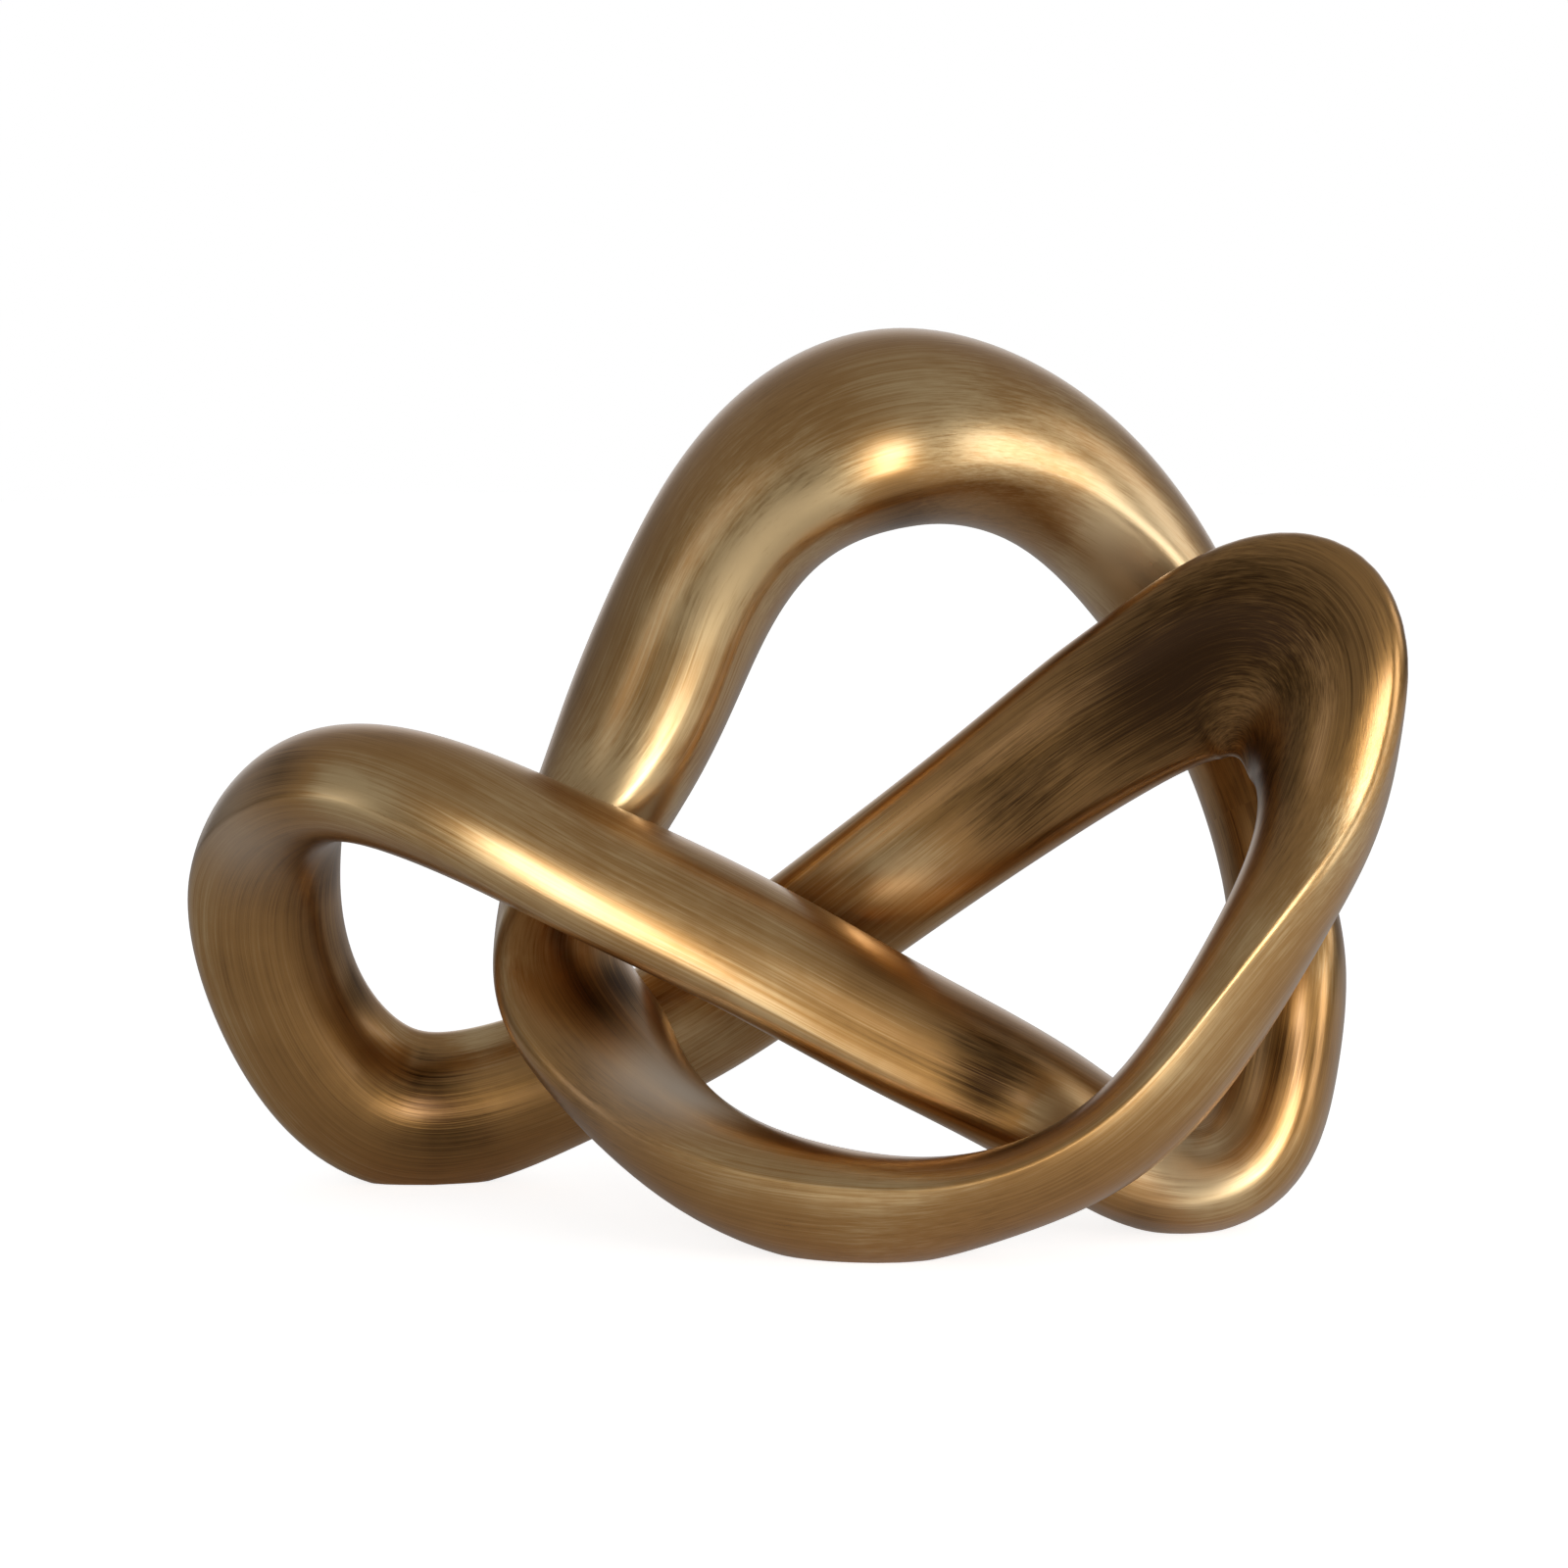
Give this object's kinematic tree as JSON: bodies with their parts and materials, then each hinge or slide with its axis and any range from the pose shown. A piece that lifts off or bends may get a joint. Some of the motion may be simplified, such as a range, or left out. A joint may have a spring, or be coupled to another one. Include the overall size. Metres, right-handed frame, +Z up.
{
  "type": "metal knot sculpture",
  "caption": "Free-standing ornament: an endless brushed brass band of flattened oval section, tied as an open knot with a tall arch, that stands on ground feet.",
  "frame": {"origin": "on the table, below the middle of the sculpture's box", "axes": "+X to the right along the sculpture's longest way, +Y to the back, +Z up from the table"},
  "size_m": [0.2765, 0.1151, 0.2035],
  "materials": {
    "band": "antique brass: brushed along the band, brown patina in the hollows, rubbed bright on the ridges",
    "weld": "filler metal ground flush, brushed and toned like the band",
    "sleeve": "as cast, inside the band and never seen"
  },
  "bodies": {
    "root": {"arch_left": "band", "arch_right": "band", "rear_bend": "band", "long_arm": "band", "left_lobe": "band", "rising_arm": "band", "right_lobe": "band", "front_loop_right": "band", "front_loop_left": "band", "crown_weld": "weld", "rear_leg_weld": "weld", "arm_root_weld": "weld", "left_lobe_weld": "weld", "rise_root_weld": "weld", "right_lobe_weld": "weld", "loop_top_weld": "weld", "front_foot_weld": "weld", "arch_root_weld": "weld", "crown_sleeve": "sleeve", "rear_leg_sleeve": "sleeve", "arm_root_sleeve": "sleeve", "left_lobe_sleeve": "sleeve", "rise_root_sleeve": "sleeve", "right_lobe_sleeve": "sleeve", "loop_top_sleeve": "sleeve", "front_foot_sleeve": "sleeve", "arch_root_sleeve": "sleeve"}
  },
  "joints": []
}
